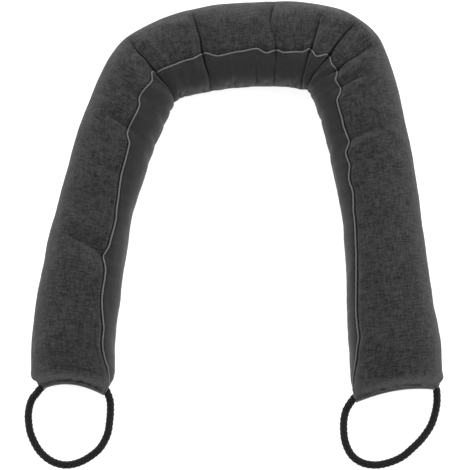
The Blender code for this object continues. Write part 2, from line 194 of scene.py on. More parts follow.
# How far the upper seam sways from its even line, drawn by the stuffing and the creases:
# place along the roll, and the shift towards the inside of the bend.
SWAY_COLUMNS = ("along", "shift")
SEAM_SWAYS = (
    (0.0, 0.0),
    (12.0, -2.5),
    (28.0, -3.0),
    (48.0, -0.5),
    (76.0, -3.0),
    (98.0, -1.4),
    (112.0, -4.2),
    (124.0, -1.0),
    (147.0, 0.9),
    (160.0, -0.5),
    (184.0, -1.8),
    (219.0, -0.6),
    (228.0, -4.4),
    (256.0, -1.2),
    (263.0, -3.2),
    (284.0, 2.0),
    (293.0, -2.6),
    (297.5, 0.6),
    (304.0, 0.6),
    (336.0, -2.4),
    (351.0, -6.5),
    (364.0, -2.0),
    (384.0, -3.9),
    (400.0, -5.6),
    (409.0, -1.9),
    (419.0, -4.3),
    (426.0, -2.0),
    (443.0, -3.6),
    (451.5, -7.3),
    (462.0, -1.2),
    (473.0, -7.5),
    (484.0, -4.2),
    (496.0, -5.8),
    (504.0, -2.9),
    (516.0, -4.8),
    (526.0, 0.2),
    (548.0, -1.4),
    (567.0, -4.4),
    (577.0, -0.9),
    (588.0, -3.0),
    (600.0, -0.5),
    (613.0, -2.8),
    (632.0, -1.2),
    (650.0, -1.9),
    (680.0, -2.5),
    (718.0, -1.1),
    (745.0, -3.3),
    (757.0, 0.0),
    (770.0, 2.0),
    (783.0, 0.0),
)

# Creases across the roll, the deep ones near the solids' own: place along it, depth, reach to
# each side, how tightly its two sides close up, the stretch round the section (0 inside,
# 90 top, 180 outside), how far it slants along the roll for each quarter turn, and how much
# gentler its slope is on the side of the left end.
CREASE_COLUMNS = ("along", "depth", "reach", "pinch", "turn_from", "turn_to", "slant", "lean")
CREASES = (
    (298.0, 10.0, 4.8, 0.66, -25.0, 152.0, 4.0, 0.25),
    (349.5, 8.5, 4.6, 0.60, 30.0, 142.0, 0.0, -0.30),
    (413.0, 7.0, 4.0, 0.60, 82.0, 154.0, 6.0, 0.50),
    (417.0, 4.8, 4.0, 0.50, 40.0, 102.0, -7.0, 0.30),
    (453.5, 8.5, 6.0, 0.55, 40.0, 132.0, 2.0, 0.50),
    (461.0, 2.4, 2.2, 0.50, 80.0, 136.0, 0.0, 0.00),
    (473.0, 11.0, 4.8, 0.68, -25.0, 154.0, 0.0, 0.15),
    (492.0, 7.5, 7.0, 0.50, 45.0, 144.0, -5.0, 0.60),
    (511.0, 5.0, 7.0, 0.35, 40.0, 116.0, -6.0, 0.60),
    (560.0, 4.6, 6.0, 0.35, 38.0, 122.0, -16.0, 0.50),
    (266.0, 2.8, 4.2, 0.30, 50.0, 112.0, 6.0, 0.30),
    (237.0, 4.4, 6.0, 0.30, 45.0, 128.0, 18.0, 0.30),
    (193.0, 1.8, 4.8, 0.20, 45.0, 115.0, 12.0, 0.00),
    (121.0, 7.0, 7.6, 0.20, 42.0, 134.0, 24.0, 0.10),
    (67.0, 1.2, 5.5, 0.10, 40.0, 120.0, 8.0, 0.00),
    (585.0, 1.6, 4.6, 0.20, 40.0, 110.0, -8.0, 0.00),
    (647.0, 1.3, 5.5, 0.10, 40.0, 125.0, -8.0, 0.00),
    (702.0, 1.2, 5.5, 0.10, 40.0, 120.0, 8.0, 0.00),
    (292.0, 1.8, 2.4, 0.50, -20.0, 45.0, 0.0, 0.00),
    (305.5, 3.2, 2.2, 0.65, -30.0, 32.0, -4.0, 0.00),
    (311.5, 2.8, 2.0, 0.65, -30.0, 18.0, -6.0, 0.00),
    (341.0, 1.8, 1.8, 0.60, -20.0, 24.0, 0.0, 0.00),
    (350.5, 3.6, 2.4, 0.65, -20.0, 70.0, 0.0, -0.20),
    (357.0, 1.2, 1.8, 0.50, 10.0, 64.0, 0.0, 0.00),
    (371.0, 2.0, 1.7, 0.60, -20.0, 22.0, 0.0, 0.00),
    (378.0, 2.2, 1.6, 0.60, -20.0, 34.0, 0.0, 0.00),
    (385.0, 1.8, 1.6, 0.60, -20.0, 12.0, 0.0, 0.00),
    (399.0, 2.2, 2.0, 0.60, -20.0, 62.0, 0.0, 0.00),
    (409.0, 1.6, 1.6, 0.60, -20.0, 24.0, 0.0, 0.00),
    (417.0, 2.6, 2.2, 0.65, -20.0, 64.0, 0.0, 0.00),
    (433.0, 1.6, 1.6, 0.60, -20.0, 16.0, 0.0, 0.00),
    (443.0, 2.4, 1.8, 0.65, -20.0, 34.0, 0.0, 0.00),
    (452.0, 4.6, 2.8, 0.65, -20.0, 62.0, 0.0, 0.20),
    (481.0, 2.4, 2.4, 0.55, -30.0, 40.0, 3.0, 0.00),
    (489.0, 1.6, 2.2, 0.50, -30.0, 30.0, 3.0, 0.00),
    (498.0, 1.4, 2.2, 0.40, -30.0, 34.0, 3.0, 0.00),
    (272.0, 1.8, 2.2, 0.50, -30.0, 34.0, 0.0, 0.00),
    (260.0, 1.6, 2.4, 0.50, -30.0, 46.0, 4.0, 0.00),
    (243.0, 1.3, 2.6, 0.40, -30.0, 46.0, 8.0, 0.00),
    (225.0, 1.0, 2.6, 0.30, -30.0, 46.0, 8.0, 0.00),
    (530.0, 1.2, 2.6, 0.40, -30.0, 34.0, 0.0, 0.00),
    (560.0, 1.2, 2.6, 0.40, -30.0, 38.0, -6.0, 0.00),
)

# Every crease: the half width of the slit at its bottom and the share of the slit that is left
# away from the seam, how far off its sides close up, how closely the piping follows it, how
# round its bottom is, how far its line wanders, over how many degrees it fades out at each
# end, and the low bulges beside it. A pair of values is a base and what the taper adds to it.
SLIT_WIDTH = (0.7, 1.9)
SLIT_TAPER = 0.45
PINCH_REACH = 1.15
PIPING_SHARE = 1.12
CREASE_SOFTNESS = 1.3
WANDER = 0.42
WINDOW_FADE = 35.0
BULGE_SHARE = 0.16
BULGE_PLACE = 2.6

# A crease is widest and deepest at the upper seam and narrows over the face panel.
TAPER_LENGTH = 16.0
BACK_TAPER = 0.75
TAPER_REACH = (0.7, 0.65)
TAPER_DEPTH = (0.75, 0.35)
TAPER_PINCH = 0.8

# Swells on the outer side of the roll: place along it, reach and height, and the two
# stretches round the section over which they rise and fall
SWELL_COLUMNS = ("along", "reach", "height")
SWELLS = (
    (300.0, 9.0, 1.6),
    (366.0, 14.0, 1.0),
    (465.0, 9.0, 1.2),
    (483.0, 10.0, 2.8),
    (757.0, 34.0, 2.2),
)
SWELL_TURNS = ((100.0, 140.0), (195.0, 225.0))

# The bend's stretch of the roll, and how gradually its stronger unevenness starts and stops
BEND = (284.0, 512.0)
BEND_FADE = 20.0

# Small unevenness: puckers along the seams, fine wrinkles of the back panel, and the lumps of
# the stuffing, which grow in the bend and vanish where the roll is pressed on the floor
PUCKER_HEIGHT = 0.3
PUCKER_REACH = (1.5, 7.0)
WRINKLE_HEIGHT = 0.55
WRINKLE_SIZE = (2.8, 45.0)
WRINKLE_TURNS = (-14.0, 10.0)
LUMP_COLUMNS = ("along", "round", "seed", "height", "more_in_bend")
LUMPS = (
    (36.0, 24.0, 3.7, 1.0, 0.4),
    (14.0, 10.0, 9.1, 0.4, 0.2),
)
SEAM_QUIET = 8.0
PRESSED_TURNS = ((215.0, 240.0), (300.0, 325.0))

# The cloth's fold over each end seam: place and reach of its dip, place, reach and height of
# the bulge beside it, the gathers that break them up, and the stretch that is pushed out.
# Over the first stretch from the tip, END_FOLD_RISE, the fold grows from nothing.
END_DIP = (2.2, 1.8)
END_BULGE = (8.5, 4.0, 2.2)
GATHER_SIZE = (5.5, 30.0)
GATHER_SHARE = 0.6
GATHER_HEIGHT = 1.6
GATHER_REACH = 12.0
END_FOLD_RISE = 1.5
OVERHANG_STRETCH = ((0.6, 2.6), (5.0, 16.0))
OVERHANG_EDGE = (1.0, 8.0)

# Seeds that set one noise apart from another
WRINKLE_SEED = 14.0
GATHER_SEED = 5.0

# Fineness of the cloth meshes, the rings over each end by their distance from the tip, and
# the stretch at each end where lengths are measured along the cloth itself
RING_STEP = 2.2
BEND_RING_STEP = 1.0
FACE_COLUMNS = 56
BACK_COLUMNS = 44
INNER_COLUMNS = 12
END_SEAM_COLUMNS = 20
END_RINGS = (0.0, 0.4, 0.9, 1.5, 2.2, 3.0, 3.8, 4.6, 5.5, 6.5, 7.6, 8.8, 10.2, 11.8, 13.6)
UV_END = 24.0
PIPING_SIDES = 10

# Rope loops, and the routes of their middles from the left corner to the right one
ROPE_RADIUS = 3.2
ROPE_SIDES = 36
ROPE_RINGS_PER_MM = 2.6
BRAID_PITCH = 8.4
BRAID_STARTS = 3
BRAID_RISE = 0.95
BRAID_CREST = 1.35
STRAND_POWER = 0.6
STRAND_SAG = 0.3
LEFT_LOOP = (
    (-168.6, -163.0, 11.0),
    (-175.4, -169.3, 8.7),
    (-177.7, -172.1, 7.4),
    (-180.5, -174.8, 5.5),
    (-182.5, -178.2, 4.2),
    (-184.2, -184.3, 3.6),
    (-184.8, -191.5, 3.6),
    (-184.1, -198.5, 3.6),
    (-182.7, -205.6, 3.6),
    (-179.8, -212.7, 3.6),
    (-175.9, -219.7, 3.6),
    (-169.5, -226.8, 3.6),
    (-160.9, -232.3, 3.6),
    (-150.3, -234.6, 3.6),
    (-139.8, -232.7, 3.6),
    (-129.0, -227.0, 3.6),
    (-120.7, -219.7, 3.6),
    (-116.5, -212.7, 3.6),
    (-113.9, -205.6, 3.6),
    (-112.9, -198.5, 3.6),
    (-112.3, -191.5, 3.6),
    (-112.1, -184.4, 3.8),
    (-112.5, -178.3, 4.8),
    (-113.6, -174.4, 6.6),
    (-115.4, -170.3, 8.0),
    (-117.6, -166.5, 9.0),
)
RIGHT_LOOP = (
    (107.5, -172.4, 11.0),
    (102.7, -177.3, 8.2),
    (99.3, -181.8, 6.2),
    (97.9, -184.0, 4.8),
    (96.8, -186.2, 3.9),
    (95.1, -191.9, 3.6),
    (94.3, -198.5, 3.6),
    (94.3, -205.6, 3.6),
    (95.1, -212.7, 3.6),
    (97.3, -219.7, 3.6),
    (101.6, -226.8, 3.6),
    (109.9, -232.5, 3.6),
    (121.3, -234.6, 3.6),
    (134.6, -232.2, 3.6),
    (146.4, -226.8, 3.6),
    (154.8, -219.7, 3.6),
    (162.1, -212.7, 3.6),
    (167.8, -205.6, 3.6),
    (172.1, -198.5, 3.6),
    (174.7, -191.5, 3.6),
    (176.6, -184.3, 3.6),
    (177.4, -178.2, 4.5),
    (177.3, -174.5, 6.4),
    (177.0, -170.6, 8.2),
    (176.5, -167.4, 9.5),
)


def named(columns, row):
    """One row of a table as a dictionary."""
    return dict(zip(columns, row))


def smooth_step(low, high, value):
    """Rises smoothly from 0 at low to 1 at high, for a number or an array."""
    part = np.clip((value - low) / (high - low), 0.0, 1.0)
    return part * part * (3.0 - 2.0 * part)


def window(rise, fall, value):
    """Rises smoothly over one stretch and falls over a later one, for a number or an array."""
    return smooth_step(*rise, value) * (1.0 - smooth_step(*fall, value))


def cloth_noise(first, second, seed):
    """Noise for each pair of places, where one of the two may be a single number."""
    pairs = np.broadcast(first, second)
    return np.array([noise.noise(Vector((one, other, seed))) for one, other in pairs])


class SmoothTable:
    """Values read from a table's rows along one smooth curve through its points."""

    def __init__(self, rows):
        self.values = np.array(rows, dtype=float)
        steps = np.linalg.norm(np.diff(self.values[:, :2], axis=0), axis=1)
        self.along = np.concatenate(([0.0], np.cumsum(steps)))
        self.length = float(self.along[-1])
        self.slopes = np.gradient(self.values, self.along, axis=0)

    def at(self, along):
        """The row of values at a distance along the curve, and its slopes there."""
        place = min(max(along, 0.0), self.length)
        i = int(np.searchsorted(self.along, place, side="right")) - 1
        i = min(max(i, 0), len(self.along) - 2)
        span = self.along[i + 1] - self.along[i]
        t = (place - self.along[i]) / span
        start, end = self.values[i], self.values[i + 1]
        leave, reach = self.slopes[i] * span, self.slopes[i + 1] * span
        value = (
            start * (2 * t**3 - 3 * t**2 + 1)
            + leave * (t**3 - 2 * t**2 + t)
            + end * (3 * t**2 - 2 * t**3)
            + reach * (t**3 - t**2)
        )
        slope = (
            start * (6 * t**2 - 6 * t)
            + leave * (3 * t**2 - 4 * t + 1)
            + end * (6 * t - 6 * t**2)
            + reach * (3 * t**2 - 2 * t)
        ) / span
        return value, slope


def crease_pull(along, turns, taper):
    """How deep the creases draw the cloth in and how far along the roll, round a section."""
    depth, drift = np.zeros_like(turns), np.zeros_like(turns)
    wider = TAPER_REACH[0] + TAPER_REACH[1] * taper
    deeper = TAPER_DEPTH[0] + TAPER_DEPTH[1] * taper
    for row in CREASES:
        crease = named(CREASE_COLUMNS, row)
        slow = np.sin(turns / 9.0 + 1.7 * crease["along"])
        quick = np.sin(turns / 4.1 + crease["along"])
        line = crease["along"] + crease["slant"] * (turns - 90.0) / 90.0 + WANDER * (slow + 0.6 * quick)
        away = along - line
        reach = crease["reach"] * wider * (1.0 - crease["lean"] * np.tanh(away))
        offset = np.hypot(away, CREASE_SOFTNESS) - CREASE_SOFTNESS
        slit_share = crease["pinch"] * (SLIT_TAPER + (1.0 - SLIT_TAPER) * taper)
        slit = np.exp(-((away / (SLIT_WIDTH[0] + SLIT_WIDTH[1] * taper)) ** 4))
        valley = (1.0 - slit_share) * np.exp(-offset / reach) + slit_share * slit
        bulge = BULGE_SHARE * np.exp(-((offset / reach - BULGE_PLACE) ** 2))
        fade = min(WINDOW_FADE, (crease["turn_to"] - crease["turn_from"]) / 2)
        opening = (crease["turn_from"], crease["turn_from"] + fade)
        closing = (crease["turn_to"] - fade, crease["turn_to"])
        share = window(opening, closing, turns)
        depth += crease["depth"] * deeper * (valley - bulge) * share
        pinch = crease["pinch"] * (1.0 - TAPER_PINCH * taper)
        drift -= away * pinch * np.exp(-((away / (PINCH_REACH * reach)) ** 2)) * share
    return depth, drift


def swell(along, turns):
    """How far the outer side of the roll swells out at a place."""
    height = 0.0
    for row in SWELLS:
        bump = named(SWELL_COLUMNS, row)
        height += bump["height"] * math.exp(-(((along - bump["along"]) / bump["reach"]) ** 2))
    return height * window(*SWELL_TURNS, turns)


def seam_sway(along):
    """How far the upper seam is shifted towards the inside at a place on the roll."""
    rows = [named(SWAY_COLUMNS, row) for row in SEAM_SWAYS]
    later = np.searchsorted([row["along"] for row in rows], along)
    later = int(np.clip(later, 1, len(rows) - 1))
    before, after = rows[later - 1], rows[later]
    share = float(smooth_step(before["along"], after["along"], along))
    return before["shift"] + (after["shift"] - before["shift"]) * share


class Section:
    """The roll's cross section at one place along it."""

    def __init__(self, spine, along):
        self.along = along
        value, _ = spine.at(along)
        behind = spine.at(along - HEADING_SPAN)[0]
        ahead = spine.at(along + HEADING_SPAN)[0]
        row = named(SPINE_COLUMNS, value)
        left = along < spine.length / 2
        self.end = named(END_COLUMNS, LEFT_END if left else RIGHT_END)
        self.from_end = along if left else spine.length - along
        heading = np.array((ahead[0] - behind[0], ahead[1] - behind[1], 0.0))
        heading /= np.linalg.norm(heading)
        self.inward = np.array((heading[1], -heading[0], 0.0))
        self.outward = -heading if left else heading
        self.heading = heading
        self.centre = np.array((row["x"] - PLAN_CENTRE[0], row["y"] - PLAN_CENTRE[1], 0.0))

        closing = min(self.from_end / END_LENGTH, 1.0)
        round_off = math.sqrt(1.0 - (1.0 - closing) ** 2)
        corner = max(1.0 - self.from_end / CORNER_LENGTH, 0.0) ** 2
        half_end = END_THICKNESS / 2
        self.fade = (1.0 - closing) ** 1.5
        self.half_width = row["half_width"] + corner * (self.end["half_width"] - row["half_width"])
        self.half_height = half_end + (row["height"] / 2 - half_end) * round_off
        body_middle = row["height"] / 2 - SINK
        self.middle = body_middle + (END_MIDDLE_HEIGHT - body_middle) * self.fade
        self.power = END_POWER + (BODY_POWER - END_POWER) * round_off
        self.seam_depth = float(smooth_step(*GROOVE_RISE, self.from_end))
        radius = (self.half_width + self.half_height) / 2
        self.trace_outline(math.radians(90.0 - row["seam_turn"]) - seam_sway(along) / radius)

    def trace_outline(self, seam):
        """Measures the outline from the upper seam over the top and right round."""
        turns = seam + np.linspace(0.0, 2 * math.pi, OUTLINE_STEPS + 1)
        cosines, sines = np.cos(turns), np.sin(turns)
        across = self.half_width * np.sign(cosines) * np.abs(cosines) ** (2 / self.power)
        up = self.half_height * np.sign(sines) * np.abs(sines) ** (2 / self.power)
        steps = np.hypot(np.diff(across), np.diff(up))
        self.lengths = np.concatenate(([0.0], np.cumsum(steps)))
        self.girth = float(self.lengths[-1])
        slope_across = np.gradient(across, self.lengths)
        slope_up = np.gradient(up, self.lengths)
        slope_across[[0, -1]] = (slope_across[0] + slope_across[-1]) / 2
        slope_up[[0, -1]] = (slope_up[0] + slope_up[-1]) / 2
        size = np.hypot(slope_across, slope_up)
        self.turns = np.degrees(turns)
        self.across, self.up = across, up
        self.normal_across, self.normal_up = slope_up / size, -slope_across / size

    def places(self, stops, depths, crease_share=1.0):
        """Points at distances round the outline from the upper seam, inside the surface."""
        stops = np.asarray(stops, dtype=float)
        depths = np.asarray(depths, dtype=float) + np.zeros_like(stops)
        at = stops % self.girth
        across = np.interp(at, self.lengths, self.across)
        up = np.interp(at, self.lengths, self.up)
        normal_across = np.interp(at, self.lengths, self.normal_across)
        normal_up = np.interp(at, self.lengths, self.normal_up)
        turns = (np.interp(at, self.lengths, self.turns) + 90.0) % 360.0 - 90.0
        taper = np.where(at < self.girth / 2, np.exp(-at / TAPER_LENGTH), BACK_TAPER)
        creases, drift = crease_pull(self.along, turns, taper)
        inset = depths + creases * crease_share + self.relief(at, turns) - swell(self.along, turns)
        across = across - normal_across * inset
        up = up - normal_up * inset
        side = across / self.half_width
        up = up - END_DROOP * self.fade * side * side
        reach = (self.end["outward"] * side * side + self.end["skew"] * side) * self.fade
        points = self.centre + np.outer(across, self.inward) + np.outer(reach, self.outward)
        points += np.outer(drift, self.heading)
        points += np.outer(self.overhang(at), self.outward)
        points[:, 2] = np.maximum(self.middle + up, np.maximum(depths, 0.0))
        return points

    def overhang(self, at):
        """How far the face panel bulges out over the end seam."""
        rise = window(*OVERHANG_STRETCH, self.from_end)
        from_seam = np.minimum(at, self.girth / 2 - at)
        return self.end["push"] * rise * smooth_step(*OVERHANG_EDGE, from_seam)

    def relief(self, at, turns):
        """Small unevenness: puckers and wrinkles, the lumps of the stuffing, end folds."""
        half = self.girth / 2
        from_seam = np.minimum(np.minimum(at, np.abs(at - half)), self.girth - at)
        quiet = smooth_step(0.0, SEAM_QUIET, from_seam)
        on_face, on_back = at < half, at > half
        settled = 1.0 - window(*PRESSED_TURNS, turns % 360.0)
        return (
            self.puckers(from_seam)
            + self.wrinkles(at) * on_back * smooth_step(*WRINKLE_TURNS, turns)
            + self.lumps(at) * quiet * settled
            + self.end_fold(at) * quiet * on_face
        )

    def puckers(self, from_seam):
        """Short uneven waves where the cloth is gathered into a seam."""
        s = self.along
        wave = (
            math.sin(s / 2.1 + 1.3 * math.sin(s / 17.0))
            + 0.7 * math.sin(s / 3.4 + 2.0 * math.sin(s / 29.0) + 1.0)
        )
        start, reach = PUCKER_REACH
        return PUCKER_HEIGHT * wave * np.exp(-from_seam / reach) * (1.0 - np.exp(-from_seam / start))

    def wrinkles(self, at):
        """Fine wrinkles across the back panel."""
        along, across = WRINKLE_SIZE
        return WRINKLE_HEIGHT * cloth_noise(self.along / along, at / across, WRINKLE_SEED)

    def lumps(self, at):
        """The lumps of the stuffing, stronger in the bend."""
        into, out_of = ((place - BEND_FADE, place + BEND_FADE) for place in BEND)
        in_bend = float(window(into, out_of, self.along))
        height = np.zeros_like(at)
        for row in LUMPS:
            lump = named(LUMP_COLUMNS, row)
            bumps = cloth_noise(self.along / lump["along"], at / lump["round"], lump["seed"])
            height += bumps * (lump["height"] + lump["more_in_bend"] * in_bend)
        return height

    def end_fold(self, at):
        """The dip at the end seam, the bulge beside it and the gathers over both."""
        across, along = GATHER_SIZE
        gathers = cloth_noise(at / across, self.along / along, GATHER_SEED)
        dip_place, dip_reach = END_DIP
        bulge_place, bulge_reach, bulge_height = END_BULGE
        dip = self.end["dip"] * math.exp(-(((self.from_end - dip_place) / dip_reach) ** 2))
        bulge = bulge_height * math.exp(-(((self.from_end - bulge_place) / bulge_reach) ** 2))
        near_end = GATHER_HEIGHT * math.exp(-self.from_end / GATHER_REACH)
        fold = (dip - bulge) * (1.0 + GATHER_SHARE * gathers) + near_end * gathers
        return fold * min(self.from_end / END_FOLD_RISE, 1.0)

    def face_stops(self, columns):
        """Distances round the outline of the face panel's columns."""
        half = self.girth / 2
        inner = np.linspace(SHOULDER_WIDTH, half - SHOULDER_WIDTH, columns)
        edge = [LIP_WIDTH * self.tip_share(), *FACE_EDGE]
        return np.array([*edge, *inner, *[half - stop for stop in reversed(edge)]])

    def back_stops(self, columns):
        """Distances round the outline of the back panel's columns."""
        half = self.girth / 2
        inner = half + np.linspace(SHOULDER_WIDTH, half - SHOULDER_WIDTH, columns)
        edge = [PANEL_EDGE * self.tip_share(), *BACK_EDGE]
        return np.array([*[half + stop for stop in edge], *inner,
                         *[2 * half - stop for stop in reversed(edge)]])

    def tip_share(self):
        """How near the cloth edges come to the seam, nearer at the roll's tips."""
        return TIP_SHARE + (1.0 - TIP_SHARE) * self.seam_depth

    def lip_depths(self, count, depth):
        """How a panel turns down into the seam at its two edges."""
        depths = np.zeros(count)
        turn_down = np.array(LIP_FALL) * depth * self.seam_depth
        depths[:3] = turn_down
        depths[-3:] = turn_down[::-1]
        return depths

    def face_points(self, columns):
        """The face panel, from the upper seam to the lower one."""
        stops = self.face_stops(columns)
        return self.places(stops, self.lip_depths(len(stops), LIP_DEPTH)), stops

    def back_points(self, columns, inset, edge_inset=0.0):
        """The back panel's surface or one inside it, from the lower seam to the upper one."""
        stops = self.back_stops(columns)
        depths = inset + self.lip_depths(len(stops), BACK_LIP_DEPTH)
        depths[0] += edge_inset
        depths[-1] += edge_inset
        return self.places(stops, depths), stops

    def seam_point(self, lower):
        """The bottom of the groove that the piping lies in."""
        at = self.girth / 2 if lower else 0.0
        depth = TIP_DEPTH + (GROOVE_DEPTH - TIP_DEPTH) * self.seam_depth
        return self.places([at], [depth])

    def piping_point(self, lower):
        """The piping's centre at a seam, and the direction in which it looks out."""
        lean = PIPING_LEAN * self.seam_depth
        at = self.girth / 2 + lean if lower else self.girth - lean
        depth = TIP_PIPING_DEPTH + (PIPING_DEPTH - TIP_PIPING_DEPTH) * self.seam_depth
        point, inside = self.places([at, at], [depth, depth + 1.0], PIPING_SHARE)
        look = point - inside
        point[2] = max(point[2], PIPING_RADIUS + GAP)
        return point, look / np.linalg.norm(look)


def camera_and_view():
    """A camera high over the open side of the U, framed as in the photograph."""
    tilt = math.radians(CAMERA_ELEVATION)
    aim = Vector((-PLAN_CENTRE[0] * MM, -PLAN_CENTRE[1] * MM, AIM_HEIGHT))
    back = Vector((0.0, -math.cos(tilt), math.sin(tilt)))
    up = Vector((0.0, math.sin(tilt), math.cos(tilt)))
    lens = bpy.data.cameras.new("camera")
    lens.sensor_width = 36.0
    view_width = METRES_PER_PIXEL * IMAGE_SIDE
    lens.lens = lens.sensor_width * CAMERA_DISTANCE / view_width
    lens.shift_x = (IMAGE_SIDE / 2 - AIM_PIXEL[0]) / IMAGE_SIDE
    lens.shift_y = (AIM_PIXEL[1] - IMAGE_SIDE / 2) / IMAGE_SIDE
    item = bpy.data.objects.new("camera", lens)
    bpy.context.scene.collection.objects.link(item)
    right = up.cross(back)
    item.matrix_world = Matrix((right, up, back)).transposed().to_4x4()
    item.location = aim + back * CAMERA_DISTANCE
    bpy.context.scene.camera = item


def mesh_piece(name, points, faces, uvs=None):
    """A smooth-shaded object from points in millimetres, riding on the one body."""
    mesh = bpy.data.meshes.new(name)
    mesh.from_pydata([tuple(point) for point in np.asarray(points) * MM], [], faces)
    mesh.update()
    if uvs is not None:
        layer = mesh.uv_layers.new(name="cloth")
        corners = np.empty(len(mesh.loops), dtype=np.int32)
        mesh.loops.foreach_get("vertex_index", corners)
        layer.data.foreach_set("uv", (np.asarray(uvs) * MM)[corners].ravel())
    mesh.shade_smooth()
    item = bpy.data.objects.new(name, mesh)
    bpy.context.scene.collection.objects.link(item)
    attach(item, "root")
    return item


def loft_faces(rings, size, closed=False):
    """Faces between neighbouring rings of equal size."""
    faces = []
    for ring in range(rings if closed else rings - 1):
        here, there = ring * size, (ring + 1) % rings * size
        for i in range(size):
            j = (i + 1) % size
            faces.append((here + i, here + j, there + j, there + i))
    return faces


def ring_stations(length):
    """Places of the rings, closer together in the bend and towards the two ends."""
    body = []
    stretches = (
        (END_RINGS[-1], BEND[0], RING_STEP),
        (*BEND, BEND_RING_STEP),
        (BEND[1], length - END_RINGS[-1], RING_STEP),
    )
    for start, stop, step in stretches:
        body += list(np.linspace(start, stop, int((stop - start) / step) + 1))[:-1]
    return [*END_RINGS[:-1], *body, *[length - place for place in reversed(END_RINGS)]]


def cloth_lengths(sections, rings):
    """Each point's place along the cloth, true to length over the steep ends."""
    along = np.array([section.along for section in sections])
    at_end = np.array([section.from_end for section in sections]) < UV_END
    steps = np.linalg.norm(np.diff(rings, axis=0), axis=2)
    even = np.diff(along)[:, None] + np.zeros_like(steps)
    steps = np.where((at_end[1:] | at_end[:-1])[:, None], steps, even)
    places = np.vstack((np.zeros(steps.shape[1]), np.cumsum(steps, axis=0)))
    first = int(np.argmin(at_end))
    return places - places[first] + along[first]


def filled_roll(sections):
    """The face panel and the stuffing that it holds, drawn in under the back panel."""
    points, rounds = [], []
    for section in sections:
        face, face_stops = section.face_points(FACE_COLUMNS)
        back, back_stops = section.back_points(INNER_COLUMNS, PANEL_THICKNESS + GAP, EDGE_INSET)
        ring = np.vstack((section.seam_point(False), face, section.seam_point(True), back))
        stops = [0.0, *face_stops, section.girth / 2, *back_stops]
        points.append(ring)
        rounds.append(stops)
    size = len(points[0])
    uvs = np.dstack((cloth_lengths(sections, np.array(points)), rounds)).reshape(-1, 2)
    faces = loft_faces(len(sections), size)
    for start in (0, size * (len(sections) - 1)):
        faces.append(tuple(range(start, start + size)))
    item = mesh_piece("face_panel_and_stuffing", np.vstack(points), faces, uvs)
    turn_outward(item)
    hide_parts("filled_roll")
    return item


def back_panel(sections):
    """The sheet of plain cloth on the inner and under side."""
    points, rounds = [], []
    for section in sections:
        outer, stops = section.back_points(BACK_COLUMNS, 0.0)
        inner, _ = section.back_points(BACK_COLUMNS, PANEL_THICKNESS)
        points.append(np.vstack((outer, inner[::-1])))
        rounds.append([*stops, *stops[::-1]])
    size = len(points[0])
    half = size // 2
    uvs = np.dstack((cloth_lengths(sections, np.array(points)), rounds)).reshape(-1, 2)
    faces = loft_faces(len(sections), size)
    for start in (0, size * (len(sections) - 1)):
        for i in range(half - 1):
            faces.append((start + i, start + i + 1, start + size - 2 - i, start + size - 1 - i))
    item = mesh_piece("back_panel_cloth", np.vstack(points), faces, uvs)
    turn_outward(item)
    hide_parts("back_panel")
    return item


def turn_outward(item):
    """Turns a closed mesh's faces to look out."""
    work = bmesh.new()
    work.from_mesh(item.data)
    bmesh.ops.recalc_face_normals(work, faces=work.faces)
    work.to_mesh(item.data)
    work.free()


def end_seam_path(section):
    """The piping's centres and directions along an end seam, inner corner first."""
    stops = section.face_stops(END_SEAM_COLUMNS)
    faces = section.places(stops, 0.0)
    backs = section.places(section.girth - stops, 0.0)
    middle = (faces + backs) / 2 + section.outward * END_PIPING_REACH
    return [(point, section.outward) for point in middle]


def corner_path(section, lower):
    """The piping's turn round a corner from the side seam to the end seam."""
    _, look = section.piping_point(lower)
    tip = section.places([section.girth / 2 if lower else 0.0], [0.0])[0]
    path = []
    for share in CORNER_SHARES:
        turn = share * math.pi / 2
        way = look * math.cos(turn) + section.outward * math.sin(turn)
        way /= np.linalg.norm(way)
        centre = tip + way * CORNER_PIPING_REACH
        centre[2] = max(centre[2], PIPING_RADIUS + GAP)
        path.append((centre, way))
    return path


def piping(sections):
    """The thin covered cord caught in the seam all the way round."""
    first, last = sections[0], sections[-1]
    route = [section.piping_point(False) for section in sections]
    route += corner_path(last, False)
    route += end_seam_path(last)
    route += corner_path(last, True)[::-1]
    route += [section.piping_point(True) for section in sections][::-1]
    route += corner_path(first, True)
    route += end_seam_path(first)[::-1]
    route += corner_path(first, False)[::-1]
    points, uvs = [], []
    along = 0.0
    for i, (centre, look) in enumerate(route):
        before, after = route[i - 1][0], route[(i + 1) % len(route)][0]
        heading = after - before
        heading /= np.linalg.norm(heading)
        out = look - heading * float(look @ heading)
        out /= np.linalg.norm(out)
        side = np.cross(heading, out)
        for step in range(PIPING_SIDES):
            turn = 2 * math.pi * step / PIPING_SIDES
            points.append(centre + (out * math.cos(turn) + side * math.sin(turn)) * PIPING_RADIUS)
            uvs.append((along, step * 2 * math.pi * PIPING_RADIUS / PIPING_SIDES))
        along += float(np.linalg.norm(after - centre))
    item = mesh_piece("piping_cord", points, loft_faces(len(route), PIPING_SIDES, closed=True), uvs)
    turn_outward(item)
    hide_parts("piping")
    return item


